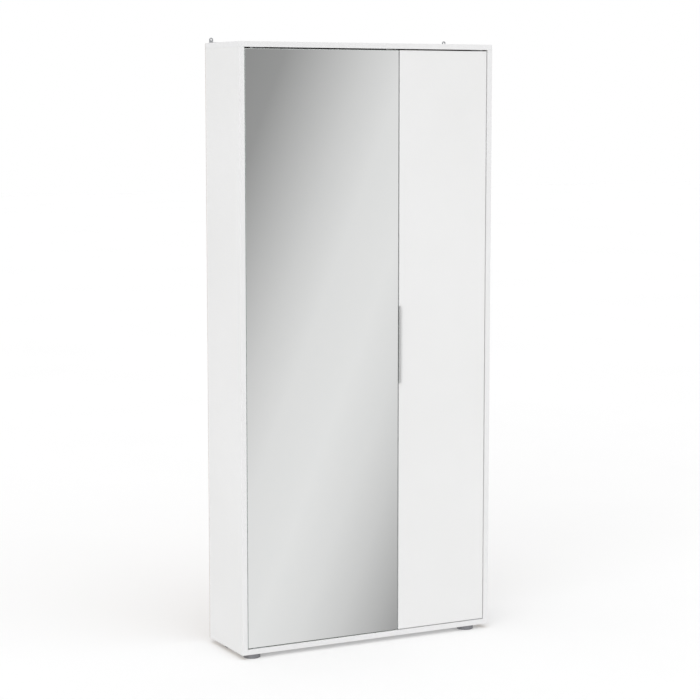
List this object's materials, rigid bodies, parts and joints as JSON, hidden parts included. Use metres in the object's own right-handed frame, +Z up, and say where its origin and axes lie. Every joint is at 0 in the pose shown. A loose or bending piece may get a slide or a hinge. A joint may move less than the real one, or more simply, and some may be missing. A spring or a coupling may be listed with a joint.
{
  "type": "armoire",
  "caption": "Tall shallow white cabinet on low round feet, with a wide mirrored door, a narrow plain door, a slim vertical edge pull and shelves behind both doors.",
  "frame": {"origin": "on the floor, under the middle of the cabinet's box", "axes": "+Z up, -Y towards the person who opens the doors, +X to that person's right"},
  "size_m": [0.838, 0.247, 1.816],
  "materials": {
    "white_board": "white melamine foil on chipboard, satin",
    "white_hardboard": "hardboard, white lacquer on the inner face, raw brown on the wall side",
    "mirror_silver": "silvered float glass",
    "pull_aluminium": "satin anodised",
    "foot_plastic": "grey moulded plastic, matt",
    "zinc_steel": "zinc plated sheet steel",
    "fastener_zinc": "bright zinc plated",
    "beech_dowel": "fluted beech, untreated",
    "catch_plastic": "white moulded plastic",
    "magnet_ferrite": "dark sintered ferrite",
    "nylon": "natural white nylon"
  },
  "bodies": {
    "carcass": {"left_side": "white_board", "right_side": "white_board", "top_panel": "white_board", "bottom_panel": "white_board", "partition": "white_board", "left_back_panel": "white_hardboard", "right_back_panel": "white_hardboard", "left_fixed_shelf": "white_board", "right_fixed_shelf": "white_board", "left_shelf_1": "white_board", "left_shelf_2": "white_board", "left_shelf_3": "white_board", "left_shelf_4": "white_board", "right_shelf_1": "white_board", "right_shelf_2": "white_board", "right_shelf_3": "white_board", "left_shelf_pins": "fastener_zinc", "right_shelf_pins": "fastener_zinc", "dowels": "beech_dowel", "cam_locks": "fastener_zinc", "cam_bolts": "fastener_zinc", "back_nails": "fastener_zinc", "front_left_foot": "foot_plastic", "front_right_foot": "foot_plastic", "back_left_foot": "foot_plastic", "back_right_foot": "foot_plastic", "foot_screws": "fastener_zinc", "left_wall_bracket": "zinc_steel", "right_wall_bracket": "zinc_steel", "bracket_screws": "fastener_zinc", "mirror_top_pivot_plate": "zinc_steel", "mirror_bottom_pivot_plate": "zinc_steel", "plain_top_pivot_plate": "zinc_steel", "plain_bottom_pivot_plate": "zinc_steel", "mirror_top_pin": "zinc_steel", "mirror_bottom_pin": "zinc_steel", "plain_top_pin": "zinc_steel", "plain_bottom_pin": "zinc_steel", "pivot_plate_screws": "fastener_zinc", "mirror_catch": "catch_plastic", "mirror_catch_magnet": "magnet_ferrite", "plain_catch": "catch_plastic", "plain_catch_magnet": "magnet_ferrite", "catch_screws": "fastener_zinc"},
    "mirror_door": {"mirror_door_board": "white_board", "mirror_glass": "mirror_silver", "mirror_strike": "zinc_steel", "mirror_strike_screws": "fastener_zinc", "mirror_top_bush": "nylon", "mirror_bottom_bush": "nylon"},
    "plain_door": {"plain_door_board": "white_board", "edge_pull": "pull_aluminium", "pull_screws": "fastener_zinc", "plain_strike": "zinc_steel", "plain_strike_screws": "fastener_zinc", "plain_top_bush": "nylon", "plain_bottom_bush": "nylon"}
  },
  "joints": [
    {"name": "mirror_door_hinge", "type": "hinge", "parent": "carcass", "child": "mirror_door", "pos_m": [-0.37609, -0.108, 0.9], "axis": [0, 0, -1], "range_deg": [0, 100]},
    {"name": "plain_door_hinge", "type": "hinge", "parent": "carcass", "child": "plain_door", "pos_m": [0.38359, -0.1095, 0.9], "axis": [0, 0, 1], "range_deg": [0, 100]}
  ]
}
